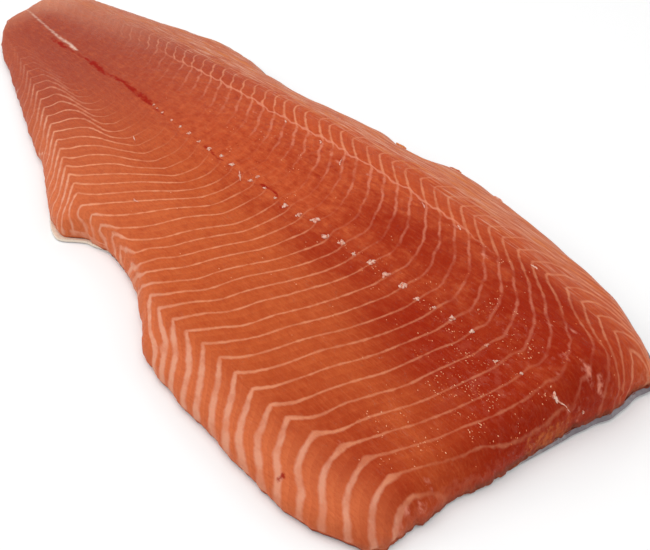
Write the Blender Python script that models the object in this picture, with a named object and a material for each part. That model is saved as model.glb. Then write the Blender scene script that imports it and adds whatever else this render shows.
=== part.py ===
"""Raw side of salmon lying skin down: a crowned slab of flesh in a shallow tray of skin.

The fillet is laid out in millimetres from its own landmarks. Stations run from the tail cut (0) to the
head cut (560), and lanes run along it from the belly edge to the back edge. Both solids come from one
grid of stations and lanes, so the flesh follows the skin it lies in. The finished pair is centred over
the origin in metres: +X points to the head end, +Y to the back of the fish and +Z up, skin at z = 0.
"""

import bmesh
import bpy
import numpy as np
from mathutils import Vector, noise

MM = 0.001

# Lanes, from the belly edge to the back edge. The midline is the row of pin bones, at y = 0.
BELLY_EDGE_LANE, RIDGE_LANE, MIDLINE_LANE = -3, -2, 0
SEPTUM_LANE, HOOK_LANE, BACK_EDGE_LANE = 2, 3, 4
LANES = (BELLY_EDGE_LANE, RIDGE_LANE, -1, MIDLINE_LANE, 1, SEPTUM_LANE, HOOK_LANE, BACK_EDGE_LANE)
FLANK_SHARE = 0.5      # the flank lane lies this far out from the midline to the belly ridge
LOIN_SHARE = 0.55      # the crest of the loin lies this far out from the midline to the septum

# Where the lanes run: (station, distance from the midline), the belly side being negative
BELLY_EDGE = (
    (0, -6), (40, -12), (60, -21), (100, -34), (140, -47), (180, -60), (220, -72), (262, -90), (282, -97),
    (298, -85), (320, -83), (340, -86), (360, -93), (380, -103), (394, -111), (430, -114), (500, -115),
    (520, -110), (540, -101), (560, -96),
)
BELLY_RIDGE = (
    (0, -3), (60, -14), (120, -29), (200, -53), (262, -74), (282, -79), (298, -77), (320, -77), (350, -82),
    (400, -91), (460, -92), (500, -87), (540, -81), (560, -79),
)
BACK_SEPTUM = (
    (0, 30), (60, 38), (120, 44), (160, 47), (280, 46), (340, 47), (400, 46), (470, 42), (530, 34), (560, 30),
)
BACK_HOOK = ((0, 44), (60, 52), (120, 59), (200, 62), (280, 63), (400, 63), (470, 57), (530, 48), (560, 44))
BACK_EDGE = (
    (0, 62), (30, 71), (60, 78), (100, 87), (140, 96), (170, 101), (195, 100), (230, 95), (270, 93),
    (310, 96), (340, 98), (360, 95), (375, 96), (400, 102), (430, 100), (460, 96), (500, 88), (520, 82),
    (540, 72), (560, 60),
)

# Where the two end cuts run: (lane, station)
TAIL_CUT = ((-3, 50), (-2.2, 41), (-0.5, 29), (1.2, 17), (2.5, 8), (3.4, 9), (3.8, 14), (4, 21))
HEAD_CUT = (
    (-3, 538), (-2.8, 542), (-2, 542), (-1.75, 544), (-1.5, 543), (-1, 547), (0, 552), (1, 555), (2, 558),
    (3, 558), (3.6, 559), (3.85, 556), (4, 550),
)

# Height of the top surface above the table along each lane, before the edges are rounded
HEIGHT_STATIONS = (0, 60, 120, 200, 280, 340, 400, 470, 530, 560)
LANE_HEIGHTS = (
    (7, 7, 8, 9, 10, 10, 10, 10, 10, 10),          # belly edge
    (8, 10, 13, 16, 18, 18, 18, 17, 16, 16),       # belly ridge
    (9, 12, 16, 20, 23, 24, 24, 23, 22, 21),       # flank
    (9, 13, 17, 22, 26, 28, 29, 29, 28, 27),       # midline
    (9, 14, 19, 25, 30, 33, 35, 35, 33, 31),       # crest of the loin
    (9, 13, 18, 25, 30, 33, 35, 34, 31, 28),       # septum of the back
    (8, 12, 17, 23, 28, 31, 32, 31, 27, 24),       # hooks of the back
    (7, 9, 11, 15, 18, 20, 21, 19, 17, 15),        # back edge
)

# Skin: thin underneath, thicker where the back half of the head cut shows it, and curled up along each edge
SKIN_THICKNESS = 1.5
GAP = 0.3
HEAD_SKIN_EXTRA = ((-3, 0), (-1.5, 0), (-0.2, 0.7), (4, 0.9))        # (lane, thickness added at the head cut)
HEAD_SKIN_WIDTH = 24.0
HEAD_LIFT = ((-3, 0.2), (-1.5, 0.3), (0, 1.2), (4, 1.8))             # (lane, height)
HEAD_LIFT_WIDTH = 7.0
TAIL_LIFT, TAIL_LIFT_WIDTH = 0.8, 7.0
BELLY_LIFT, BELLY_LIFT_WIDTH = 0.4, 7.0
BACK_LIFT = ((0, 2), (60, 3.5), (120, 5.5), (200, 8), (300, 10), (420, 11), (530, 9), (560, 5))
BACK_LIFT_WIDTH = 20.0

# The skin has shrunk back under the belly edge and the belly half of the head cut, except beside the vent
# notch, where it is the flesh that stands back and leaves the pale lining bare
BELLY_SKIN_BACK = ((0, 1.2), (120, 2.2), (245, 2.2), (266, 0), (298, 0), (312, 2.2), (560, 2.4))
HEAD_SKIN_BACK = ((-3, 2.2), (-1.2, 2.2), (-0.2, 0), (4, 0))
BARE_LINING = ((258, 0), (272, 1.2), (284, 2.4), (292, 1.6), (300, 0))
DRAWN_WIDTH = 14.0

# Flesh: how its edges are rounded
HEAD_ROUND, TAIL_ROUND, BELLY_ROUND, BACK_ROUND = 17.0, 9.0, 5.0, 12.0
CUT_EDGE_HEIGHT = 1.6      # the flesh stands this high and upright round its rim
LEAST_CROWN = 0.5          # and rises at least this much further in
LEAST_BELLY_SLOPE = 3.0    # distance kept between belly edge and belly ridge

# Shallow relief
PIN_BONE_GROOVE_DEPTH, PIN_BONE_GROOVE_HALF_WIDTH = 1.0, 6.0
SEPTUM_CREASE_DEPTH, SEPTUM_CREASE_HALF_WIDTH = 0.6, 5.0
SWELL_HEIGHT, SWELL_LENGTH = 0.55, 34.0
EDGE_WAVE, EDGE_WAVE_LENGTH = 0.9, 17.0
LANE_WIDTH = 25.0      # mean distance between lanes, for the unevenness of the end cuts

# Grid of stations and lanes
MIDDLE_STATIONS = 57
END_STEPS = (0.0, 0.5, 1.6, 3.6, 7.0, 12.0)      # distances in from each end cut
LANE_ROWS = (
    -3, -2.975, -2.92, -2.82, -2.66, -2.45, -2.22, -2, -1.8, -1.55, -1.28, -1, -0.75, -0.5, -0.28, -0.12,
    0, 0.14, 0.34, 0.65, 1, 1.35, 1.7, 1.9, 2, 2.15, 2.4, 2.7, 3, 3.22, 3.42, 3.6, 3.74, 3.85, 3.93, 3.98, 4,
)
FLAT_ANGLE = 0.0005      # faces that turn less than this are joined
SHARP_ANGLE = 0.9        # edges that turn more than this stay sharp

FLESH_COLOR = (0.72, 0.13, 0.04, 1.0)
SKIN_COLOR = (0.30, 0.33, 0.36, 1.0)


def through(knots, values, at):
    """A smooth curve through values at knots, without overshoot. The knots may differ from point to point."""
    at = np.asarray(at, float)
    knots, values = np.asarray(knots, float), np.asarray(values, float)
    shape = (len(knots),) + at.shape
    if knots.ndim == 1:
        knots = knots.reshape((-1,) + (1,) * at.ndim)
    if values.ndim == 1:
        values = values.reshape((-1,) + (1,) * at.ndim)
    knots, values = np.broadcast_to(knots, shape), np.broadcast_to(values, shape)
    at = np.clip(at, knots[0], knots[-1])
    span = np.diff(knots, axis=0)
    rise = np.diff(values, axis=0) / span
    before, after = rise[:-1], rise[1:]
    total = np.where(np.abs(before + after) < 1e-12, 1.0, before + after)
    inner = np.where(before * after > 0, 2 * before * after / total, 0.0)
    slope = np.concatenate([rise[:1], inner, rise[-1:]])
    piece = (at[None] >= knots[1:-1]).sum(axis=0)[None]

    def pick(rows, index):
        return np.take_along_axis(rows, index, axis=0)[0]

    width = pick(span, piece)
    t = (at - pick(knots, piece)) / width
    return (
        (2 * t**3 - 3 * t**2 + 1) * pick(values, piece)
        + (t**3 - 2 * t**2 + t) * width * pick(slope, piece)
        + (3 * t**2 - 2 * t**3) * pick(values, piece + 1)
        + (t**3 - t**2) * width * pick(slope, piece + 1)
    )


def curve(points, at):
    """The smooth curve through (place, value) points."""
    places, values = zip(*points)
    return through(places, values, at)


def wave(a, b, length, seed):
    """Smooth natural unevenness from -1 to 1, the same at every run."""
    spots = np.stack([a / length, b / length, np.full_like(a, float(seed))], axis=-1)
    flat = [noise.noise(Vector(spot)) for spot in spots.reshape(-1, 3)]
    return np.array(flat).reshape(a.shape)


def quarter_round(distance, radius):
    """0 at an edge, 1 a radius in from it, along a quarter of a circle."""
    t = np.clip(distance / radius, 0, 1)
    return np.sqrt(1 - (1 - t) ** 2)


def curl(distance, width):
    """1 at an edge, 0 a width in from it: the lift of skin that curves up."""
    return 1 - quarter_round(distance, width)


def fade(distance, width):
    """1 at an edge, running out smoothly to 0 a width in from it."""
    return (1 - np.clip(distance / width, 0, 1)) ** 2


def lane_places(station):
    """Distance from the midline of each lane at these stations."""
    ridge = curve(BELLY_RIDGE, station)
    septum = curve(BACK_SEPTUM, station)
    ragged = EDGE_WAVE * wave(station, 0 * station, EDGE_WAVE_LENGTH, 3)
    belly_edge = np.minimum(curve(BELLY_EDGE, station) + ragged, ridge - LEAST_BELLY_SLOPE)
    back_edge = curve(BACK_EDGE, station) + EDGE_WAVE * wave(station, 0 * station, EDGE_WAVE_LENGTH, 8)
    return np.stack([
        belly_edge, ridge, FLANK_SHARE * ridge, 0 * station, LOIN_SHARE * septum, septum,
        curve(BACK_HOOK, station), back_edge,
    ])


def grid_of_stations():
    """Stations and lanes of the whole grid, one row of it for each lane."""
    lanes = np.array(LANE_ROWS, float)
    ragged = EDGE_WAVE * wave(LANE_WIDTH * lanes, 0 * lanes, EDGE_WAVE_LENGTH, 5)
    tail = curve(TAIL_CUT, lanes) + ragged
    head = curve(HEAD_CUT, lanes) - ragged
    steps = np.array(END_STEPS)
    length = (head - tail)[:, None]
    middle = np.linspace(steps[-1], length - steps[-1], MIDDLE_STATIONS + 1, axis=-1).reshape(len(lanes), -1)
    from_tail = np.concatenate([np.tile(steps[:-1], (len(lanes), 1)), middle, length - steps[-2::-1]], axis=1)
    station = tail[:, None] + from_tail
    lane = np.broadcast_to(lanes[:, None], station.shape)
    return station, lane, from_tail, length - from_tail


def layers():
    """The four surfaces of the fillet as arrays of points: skin below and above, flesh below and above."""
    station, lane, from_tail, from_head = grid_of_stations()
    places = lane_places(station)
    y = through(LANES, places, lane)
    from_belly, from_back = y - places[0], places[-1] - y

    # The outside of the skin, flat on the table and curled up along the edges
    lift = np.stack([
        curve(HEAD_LIFT, lane) * curl(from_head, HEAD_LIFT_WIDTH),
        TAIL_LIFT * curl(from_tail, TAIL_LIFT_WIDTH),
        BELLY_LIFT * curl(from_belly, BELLY_LIFT_WIDTH),
        curve(BACK_LIFT, station) * curl(from_back, BACK_LIFT_WIDTH),
    ]).max(axis=0)
    outside = np.stack([station, y, lift], axis=-1)

    # Each layer above it is set off along the normal
    normal = np.cross(np.gradient(outside, axis=1), np.gradient(outside, axis=0))
    normal /= np.linalg.norm(normal, axis=-1, keepdims=True)
    thickness = SKIN_THICKNESS + curve(HEAD_SKIN_EXTRA, lane) * fade(from_head, HEAD_SKIN_WIDTH)
    inside = outside + thickness[..., None] * normal
    bed = outside + (thickness[..., None] + GAP) * normal

    # Skin and flesh stand back from each other along parts of the edge
    for layer in (outside, inside):
        layer[..., 0] -= curve(HEAD_SKIN_BACK, lane) * fade(from_head, DRAWN_WIDTH)
        layer[..., 1] += curve(BELLY_SKIN_BACK, station) * fade(from_belly, DRAWN_WIDTH)
    bed[..., 1] += curve(BARE_LINING, station) * fade(from_belly, DRAWN_WIDTH)

    # The flesh is crowned above its bed, with a groove at the pin bones and a crease at the septum
    heights = np.stack([through(HEIGHT_STATIONS, row, station) for row in LANE_HEIGHTS])
    crown = through(places, heights, y)
    crown -= PIN_BONE_GROOVE_DEPTH * np.exp(-(y / PIN_BONE_GROOVE_HALF_WIDTH) ** 2)
    crown -= SEPTUM_CREASE_DEPTH * np.exp(-((y - places[5]) / SEPTUM_CREASE_HALF_WIDTH) ** 2)
    crown += SWELL_HEIGHT * wave(station, y, SWELL_LENGTH, 1)
    rounding = (
        quarter_round(from_head, HEAD_ROUND) * quarter_round(from_tail, TAIL_ROUND)
        * quarter_round(from_belly, BELLY_ROUND) * quarter_round(from_back, BACK_ROUND)
    )
    foot = bed[..., 2] + CUT_EDGE_HEIGHT
    top = bed.copy()
    top[..., 2] = foot + np.maximum(crown - foot, LEAST_CROWN) * rounding
    return outside, inside, bed, top


def material(name, color, roughness):
    """A plain Principled material."""
    made = bpy.data.materials.new(name)
    made.use_nodes = True
    shader = made.node_tree.nodes["Principled BSDF"]
    shader.inputs["Base Color"].default_value = color
    shader.inputs["Roughness"].default_value = roughness
    shader.inputs["Metallic"].default_value = 0.0
    return made


def slab(name, below, above, centre, finish, collection):
    """A closed solid between two layers: a grid primitive, thickened by extruding it, then laid on them."""
    rows, columns = below.shape[:2]
    bpy.ops.mesh.primitive_grid_add(x_subdivisions=columns - 1, y_subdivisions=rows - 1, size=1)
    piece = bpy.context.object
    piece.name = piece.data.name = name
    shape = bmesh.new()
    shape.from_mesh(piece.data)

    def laid(vertex, layer):
        column = round((vertex.co.x + 0.5) * (columns - 1))
        row = round((vertex.co.y + 0.5) * (rows - 1))
        return Vector(((layer[row, column] - centre) * MM).tolist())

    lower = list(shape.verts)
    raised = bmesh.ops.extrude_face_region(shape, geom=shape.faces[:], use_keep_orig=True)
    upper = [part for part in raised["geom"] if isinstance(part, bmesh.types.BMVert)]
    for vertex in upper:
        vertex.co = laid(vertex, above)
    for vertex in lower:
        vertex.co = laid(vertex, below)
    bmesh.ops.recalc_face_normals(shape, faces=shape.faces[:])
    bmesh.ops.dissolve_limit(shape, angle_limit=FLAT_ANGLE, verts=shape.verts[:], edges=shape.edges[:])
    bmesh.ops.triangulate(shape, faces=shape.faces[:])
    shape.to_mesh(piece.data)
    shape.free()
    piece.data.shade_smooth()
    piece.data.set_sharp_from_angle(angle=SHARP_ANGLE)
    piece.data.materials.append(finish)
    for home in list(piece.users_collection):
        home.objects.unlink(piece)
    collection.objects.link(piece)
    return piece


def main():
    for old in list(bpy.data.objects):
        bpy.data.objects.remove(old)
    fillet = bpy.data.collections.new("salmon_fillet")
    bpy.context.scene.collection.children.link(fillet)

    outside, inside, bed, top = layers()
    corners = np.concatenate([layer.reshape(-1, 3) for layer in (outside, inside, bed, top)])
    centre = (corners.min(axis=0) + corners.max(axis=0)) / 2
    centre[2] = outside[..., 2].min()

    slab("skin", outside, inside, centre, material("skin_silver", SKIN_COLOR, 0.35), fillet)
    slab("flesh", bed, top, centre, material("flesh_orange", FLESH_COLOR, 0.3), fillet)


main()
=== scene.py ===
"""Looks of a raw side of salmon: moist flesh with pale lines, pin bones, blood line and fat, on silvery skin.

Every place on the fillet is given by a station, in millimetres from the tail cut, and a lane, which runs
along the side: -3 is the belly edge, -2 the belly ridge, 0 the midline with the pin bones, 2 the septum of
the back, 3 the hooks of the lines and 4 the back edge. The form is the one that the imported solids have.
"""

import math

import bmesh
import bpy
import numpy as np
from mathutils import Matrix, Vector, noise


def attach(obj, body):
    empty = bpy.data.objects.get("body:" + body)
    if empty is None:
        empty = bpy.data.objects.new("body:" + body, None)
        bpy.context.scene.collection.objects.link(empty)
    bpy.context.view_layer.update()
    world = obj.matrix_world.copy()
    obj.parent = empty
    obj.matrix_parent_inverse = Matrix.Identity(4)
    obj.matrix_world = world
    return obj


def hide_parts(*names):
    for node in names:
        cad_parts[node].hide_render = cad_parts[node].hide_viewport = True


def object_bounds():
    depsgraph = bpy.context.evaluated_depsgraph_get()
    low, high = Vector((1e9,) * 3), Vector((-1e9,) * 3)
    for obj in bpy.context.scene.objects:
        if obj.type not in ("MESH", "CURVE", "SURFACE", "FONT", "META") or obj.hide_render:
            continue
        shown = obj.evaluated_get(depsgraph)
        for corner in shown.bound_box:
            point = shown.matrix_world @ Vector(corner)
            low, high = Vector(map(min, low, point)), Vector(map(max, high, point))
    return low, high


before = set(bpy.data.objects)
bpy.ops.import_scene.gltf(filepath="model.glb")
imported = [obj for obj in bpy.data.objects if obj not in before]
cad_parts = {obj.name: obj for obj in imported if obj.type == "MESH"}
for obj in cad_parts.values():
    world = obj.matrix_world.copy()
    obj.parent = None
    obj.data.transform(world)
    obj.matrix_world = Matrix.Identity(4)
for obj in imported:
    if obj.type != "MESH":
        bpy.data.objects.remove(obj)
cad_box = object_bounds()

MM = 0.001
CENTRE = (283.679, -6.4385, 0.0)      # the row's origin in stations and distance from the midline
CAMERA_PLACE = (0.40543, -0.24427, 0.31893)
CAMERA_TARGET = (0.11615, 0.00226, 0.0)
LENS_LENGTH, SENSOR_WIDTH = 52.615, 36.0

# The form of the fillet: the same named values as its solids have

LANES = (-3, -2, -1, 0, 1, 2, 3, 4)
FLANK_SHARE = 0.5
LOIN_SHARE = 0.55
BELLY_EDGE = (
    (0, -6), (40, -12), (60, -21), (100, -34), (140, -47), (180, -60), (220, -72), (262, -90), (282, -97),
    (298, -85), (320, -83), (340, -86), (360, -93), (380, -103), (394, -111), (430, -114), (500, -115),
    (520, -110), (540, -101), (560, -96),
)
BELLY_RIDGE = (
    (0, -3), (60, -14), (120, -29), (200, -53), (262, -74), (282, -79), (298, -77), (320, -77), (350, -82),
    (400, -91), (460, -92), (500, -87), (540, -81), (560, -79),
)
BACK_SEPTUM = (
    (0, 30), (60, 38), (120, 44), (160, 47), (280, 46), (340, 47), (400, 46), (470, 42), (530, 34), (560, 30),
)
BACK_HOOK = ((0, 44), (60, 52), (120, 59), (200, 62), (280, 63), (400, 63), (470, 57), (530, 48), (560, 44))
BACK_EDGE = (
    (0, 62), (30, 71), (60, 78), (100, 87), (140, 96), (170, 101), (195, 100), (230, 95), (270, 93),
    (310, 96), (340, 98), (360, 95), (375, 96), (400, 102), (430, 100), (460, 96), (500, 88), (520, 82),
    (540, 72), (560, 60),
)
TAIL_CUT = ((-3, 50), (-2.2, 41), (-0.5, 29), (1.2, 17), (2.5, 8), (3.4, 9), (3.8, 14), (4, 21))
HEAD_CUT = (
    (-3, 538), (-2.8, 542), (-2, 542), (-1.75, 544), (-1.5, 543), (-1, 547), (0, 552), (1, 555), (2, 558),
    (3, 558), (3.6, 559), (3.85, 556), (4, 550),
)
HEIGHT_STATIONS = (0, 60, 120, 200, 280, 340, 400, 470, 530, 560)
LANE_HEIGHTS = (
    (7, 7, 8, 9, 10, 10, 10, 10, 10, 10),
    (8, 10, 13, 16, 18, 18, 18, 17, 16, 16),
    (9, 12, 16, 20, 23, 24, 24, 23, 22, 21),
    (9, 13, 17, 22, 26, 28, 29, 29, 28, 27),
    (9, 14, 19, 25, 30, 33, 35, 35, 33, 31),
    (9, 13, 18, 25, 30, 33, 35, 34, 31, 28),
    (8, 12, 17, 23, 28, 31, 32, 31, 27, 24),
    (7, 9, 11, 15, 18, 20, 21, 19, 17, 15),
)
SKIN_THICKNESS = 1.5
GAP = 0.3
HEAD_SKIN_EXTRA = ((-3, 0), (-1.5, 0), (-0.2, 0.7), (4, 0.9))
HEAD_SKIN_WIDTH = 24.0
HEAD_LIFT = ((-3, 0.2), (-1.5, 0.3), (0, 1.2), (4, 1.8))
HEAD_LIFT_WIDTH = 7.0
TAIL_LIFT, TAIL_LIFT_WIDTH = 0.8, 7.0
BELLY_LIFT, BELLY_LIFT_WIDTH = 0.4, 7.0
BACK_LIFT = ((0, 2), (60, 3.5), (120, 5.5), (200, 8), (300, 10), (420, 11), (530, 9), (560, 5))
BACK_LIFT_WIDTH = 20.0
BELLY_SKIN_BACK = ((0, 1.2), (120, 2.2), (245, 2.2), (266, 0), (298, 0), (312, 2.2), (560, 2.4))
HEAD_SKIN_BACK = ((-3, 2.2), (-1.2, 2.2), (-0.2, 0), (4, 0))
BARE_LINING = ((258, 0), (272, 1.2), (284, 2.4), (292, 1.6), (300, 0))
DRAWN_WIDTH = 14.0
HEAD_ROUND, TAIL_ROUND, BELLY_ROUND, BACK_ROUND = 17.0, 9.0, 5.0, 12.0
CUT_EDGE_HEIGHT = 1.6
LEAST_CROWN = 0.5
LEAST_BELLY_SLOPE = 3.0
PIN_BONE_GROOVE_DEPTH, PIN_BONE_GROOVE_HALF_WIDTH = 1.0, 6.0
SEPTUM_CREASE_DEPTH, SEPTUM_CREASE_HALF_WIDTH = 0.6, 5.0
SWELL_HEIGHT, SWELL_LENGTH = 0.55, 34.0
EDGE_WAVE, EDGE_WAVE_LENGTH = 0.9, 17.0
LANE_WIDTH = 25.0


def through(knots, values, at):
    """A smooth curve through values at knots, without overshoot. The knots may differ from point to point."""
    at = np.asarray(at, float)
    knots, values = np.asarray(knots, float), np.asarray(values, float)
    shape = (len(knots),) + at.shape
    if knots.ndim == 1:
        knots = knots.reshape((-1,) + (1,) * at.ndim)
    if values.ndim == 1:
        values = values.reshape((-1,) + (1,) * at.ndim)
    knots, values = np.broadcast_to(knots, shape), np.broadcast_to(values, shape)
    at = np.clip(at, knots[0], knots[-1])
    span = np.diff(knots, axis=0)
    rise = np.diff(values, axis=0) / span
    before, after = rise[:-1], rise[1:]
    total = np.where(np.abs(before + after) < 1e-12, 1.0, before + after)
    inner = np.where(before * after > 0, 2 * before * after / total, 0.0)
    slope = np.concatenate([rise[:1], inner, rise[-1:]])
    piece = (at[None] >= knots[1:-1]).sum(axis=0)[None]

    def pick(rows, index):
        return np.take_along_axis(rows, index, axis=0)[0]

    width = pick(span, piece)
    t = (at - pick(knots, piece)) / width
    return (
        (2 * t**3 - 3 * t**2 + 1) * pick(values, piece)
        + (t**3 - 2 * t**2 + t) * width * pick(slope, piece)
        + (3 * t**2 - 2 * t**3) * pick(values, piece + 1)
        + (t**3 - t**2) * width * pick(slope, piece + 1)
    )


def curve(points, at):
    """The smooth curve through (place, value) points."""
    places, values = zip(*points)
    return through(places, values, at)


def wave(a, b, length, seed):
    """Smooth natural unevenness from -1 to 1, the same at every run."""
    spots = np.stack([a / length, b / length, np.full_like(a, float(seed))], axis=-1)
    flat = [noise.noise(Vector(spot)) for spot in spots.reshape(-1, 3)]
    return np.array(flat).reshape(a.shape)


def quarter_round(distance, radius):
    """0 at an edge, 1 a radius in from it, along a quarter of a circle."""
    t = np.clip(distance / radius, 0, 1)
    return np.sqrt(1 - (1 - t) ** 2)


def curl(distance, width):
    """1 at an edge, 0 a width in from it: the lift of skin that curves up."""
    return 1 - quarter_round(distance, width)


def fade(distance, width):
    """1 at an edge, running out smoothly to 0 a width in from it."""
    return (1 - np.clip(distance / width, 0, 1)) ** 2


def lane_places(station):
    """Distance from the midline of each lane at these stations."""
    ridge = curve(BELLY_RIDGE, station)
    septum = curve(BACK_SEPTUM, station)
    ragged = EDGE_WAVE * wave(station, 0 * station, EDGE_WAVE_LENGTH, 3)
    belly_edge = np.minimum(curve(BELLY_EDGE, station) + ragged, ridge - LEAST_BELLY_SLOPE)
    back_edge = curve(BACK_EDGE, station) + EDGE_WAVE * wave(station, 0 * station, EDGE_WAVE_LENGTH, 8)
    return np.stack([
        belly_edge, ridge, FLANK_SHARE * ridge, 0 * station, LOIN_SHARE * septum, septum,
        curve(BACK_HOOK, station), back_edge,
    ])


def end_cuts(lanes):
    """Stations of the tail cut and the head cut at these lanes."""
    ragged = EDGE_WAVE * wave(LANE_WIDTH * lanes, 0 * lanes, EDGE_WAVE_LENGTH, 5)
    return curve(TAIL_CUT, lanes) + ragged, curve(HEAD_CUT, lanes) - ragged


def layers_at(station, lane, from_tail, from_head):
    """Skin below and above, flesh below and above, at a grid of stations (along) and lanes (across)."""
    places = lane_places(station)
    y = through(LANES, places, lane)
    from_belly, from_back = y - places[0], places[-1] - y
    lift = np.stack([
        curve(HEAD_LIFT, lane) * curl(from_head, HEAD_LIFT_WIDTH),
        TAIL_LIFT * curl(from_tail, TAIL_LIFT_WIDTH),
        BELLY_LIFT * curl(from_belly, BELLY_LIFT_WIDTH),
        curve(BACK_LIFT, station) * curl(from_back, BACK_LIFT_WIDTH),
    ]).max(axis=0)
    outside = np.stack([station, y, lift], axis=-1)
    normal = np.cross(np.gradient(outside, axis=1), np.gradient(outside, axis=0))
    normal /= np.linalg.norm(normal, axis=-1, keepdims=True)
    thickness = SKIN_THICKNESS + curve(HEAD_SKIN_EXTRA, lane) * fade(from_head, HEAD_SKIN_WIDTH)
    inside = outside + thickness[..., None] * normal
    bed = outside + (thickness[..., None] + GAP) * normal
    for layer in (outside, inside):
        layer[..., 0] -= curve(HEAD_SKIN_BACK, lane) * fade(from_head, DRAWN_WIDTH)
        layer[..., 1] += curve(BELLY_SKIN_BACK, station) * fade(from_belly, DRAWN_WIDTH)
    bed[..., 1] += curve(BARE_LINING, station) * fade(from_belly, DRAWN_WIDTH)
    heights = np.stack([through(HEIGHT_STATIONS, row, station) for row in LANE_HEIGHTS])
    crown = through(places, heights, y)
    crown -= PIN_BONE_GROOVE_DEPTH * np.exp(-(y / PIN_BONE_GROOVE_HALF_WIDTH) ** 2)
    crown -= SEPTUM_CREASE_DEPTH * np.exp(-((y - places[5]) / SEPTUM_CREASE_HALF_WIDTH) ** 2)
    crown += SWELL_HEIGHT * wave(station, y, SWELL_LENGTH, 1)
    rounding = (
        quarter_round(from_head, HEAD_ROUND) * quarter_round(from_tail, TAIL_ROUND)
        * quarter_round(from_belly, BELLY_ROUND) * quarter_round(from_back, BACK_ROUND)
    )
    foot = bed[..., 2] + CUT_EDGE_HEIGHT
    top = bed.copy()
    top[..., 2] = foot + np.maximum(crown - foot, LEAST_CROWN) * rounding
    return outside, inside, bed, top


# The pale lines: one for each vertebra, from the belly edge over the flank and the loin to the back edge

MIDLINE_STATIONS = (
    17, 27.5, 38, 49, 59.5, 70, 81, 91.5, 102, 113, 123.5, 134, 144.6, 155.3, 166, 176.6, 187.3, 198, 208.6,
    219.3, 230, 241, 252, 263, 274, 285, 296, 307, 318, 328, 338, 348, 361, 370, 380, 390, 402, 412.5, 423,
    433, 445, 455, 466, 476, 486, 497, 507, 518, 528, 538, 548, 558.5, 569, 579.5, 590, 600.5, 611, 621.5,
)
# How far along the fish a line has shifted at each lane, by the station where it crosses the midline
LINE_SHIFTS = (
    (-3, ((252, -11), (296, -16), (318, -28), (338, -34), (370, -40), (402, -44), (412.5, -8), (433, -12.5),
          (455, -13), (466, -12.5), (476, -10.5), (497, -7.5), (548, -6.5))),
    (-2.75, ((252, -13), (296, -18), (318, -30), (338, -37), (370, -42), (380, -39), (402, -42),
             (412.5, -13.5), (433, -17), (466, -18), (486, -17.5), (497, -16.5), (507, -14),
             (518, -11.5), (548, -11))),
    (-2.5, ((252, -16), (274, -18), (296, -21), (307, -27), (318, -33), (328, -38), (338, -41), (361, -45),
            (370, -44), (380, -37), (402, -40.5), (412.5, -35), (423, -21), (445, -22.5), (497, -23),
            (518, -20.5), (528, -17.5), (548, -15))),
    (-2.25, ((252, -24), (296, -27), (307, -30), (318, -37), (328, -40.5), (338, -43), (348, -42), (361, -44),
             (370, -37), (380, -31.5), (402, -38), (412.5, -40.5), (423, -36), (433, -32), (445, -30.5),
             (466, -27.5), (497, -26.5), (518, -25), (538, -20), (548, -18.5))),
    (-2, ((180, -35), (230, -33), (263, -35), (296, -40), (318, -43), (328, -41), (338, -38), (348, -34),
          (361, -35), (370, -29.5), (380, -30), (402, -35), (423, -37), (445, -38.5), (466, -37), (486, -33),
          (507, -31), (518, -28), (528, -24.5), (548, -21))),
    (-1.75, ((180, -34), (230, -31), (274, -31.5), (307, -35.5), (328, -33.5), (348, -26), (390, -27.5),
             (423, -31.5), (445, -31.5), (476, -28), (507, -22.5), (548, -20))),
    (-1.5, ((180, -32), (210, -31.5), (241, -26.5), (307, -26), (328, -24), (348, -17.5), (380, -19),
            (423, -22.5), (466, -23), (497, -20.5), (528, -18), (548, -16))),
    (-1.25, ((180, -20), (220, -22), (252, -17), (285, -17), (318, -14.5), (348, -12), (380, -13.5),
             (412.5, -17.5), (476, -18.5), (507, -14.5), (548, -11))),
    (-1, ((180, 6), (230, 5), (252, -1), (296, -2.5), (338, -4), (380, -7.5), (412.5, -11.5), (476, -12.5),
          (507, -9), (548, -8))),
    (-0.75, ((180, 11), (252, 10), (296, 8.5), (318, 4), (348, 2), (370, -0.5), (402, -4), (433, -7),
             (497, -6.5), (528, -5), (548, -3))),
    (-0.5, ((180, 9), (296, 10), (318, 7), (338, 4), (380, 1), (412.5, -0.5), (445, -3), (476, -2.5),
            (497, -3.5), (548, -1))),
    (-0.25, ((180, 5), (300, 6), (340, 4.5), (361, 2.5), (402, 3), (430, 0))),
    (0, ((0, 0),)),
    (0.25, ((0, 2.5),)),
    (0.5, ((0, 1.5),)),
    (0.75, ((0, -1),)),
    (1, ((528, -4), (548, -1))),
    (1.25, ((0, -8.5), (528, -8.5), (548, -3))),
    (1.5, ((528, -14), (538, -11), (548, -5.5))),
    (1.75, ((528, -18.5), (538, -16), (548, -8.5))),
    (2, ((528, -23), (538, -20.5), (548, -12))),
    (2.25, ((528, -29.5), (548, -22))),
    (2.5, ((310, -32), (330, -34.5), (528, -34.5), (548, -29))),
    (2.75, ((310, -37), (330, -39.5), (538, -39.5), (548, -34))),
    (3, ((310, -41), (330, -43.5), (538, -43.5), (548, -39))),
    (3.1, ((310, -41.5), (330, -44), (548, -42))),
    (3.3, ((310, -37), (330, -39.5), (548, -40))),
    (3.45, ((310, -28), (330, -31), (548, -33))),
    (3.6, ((310, -12), (330, -14), (548, -17))),
    (4, ((0, 30),)),
)
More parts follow.
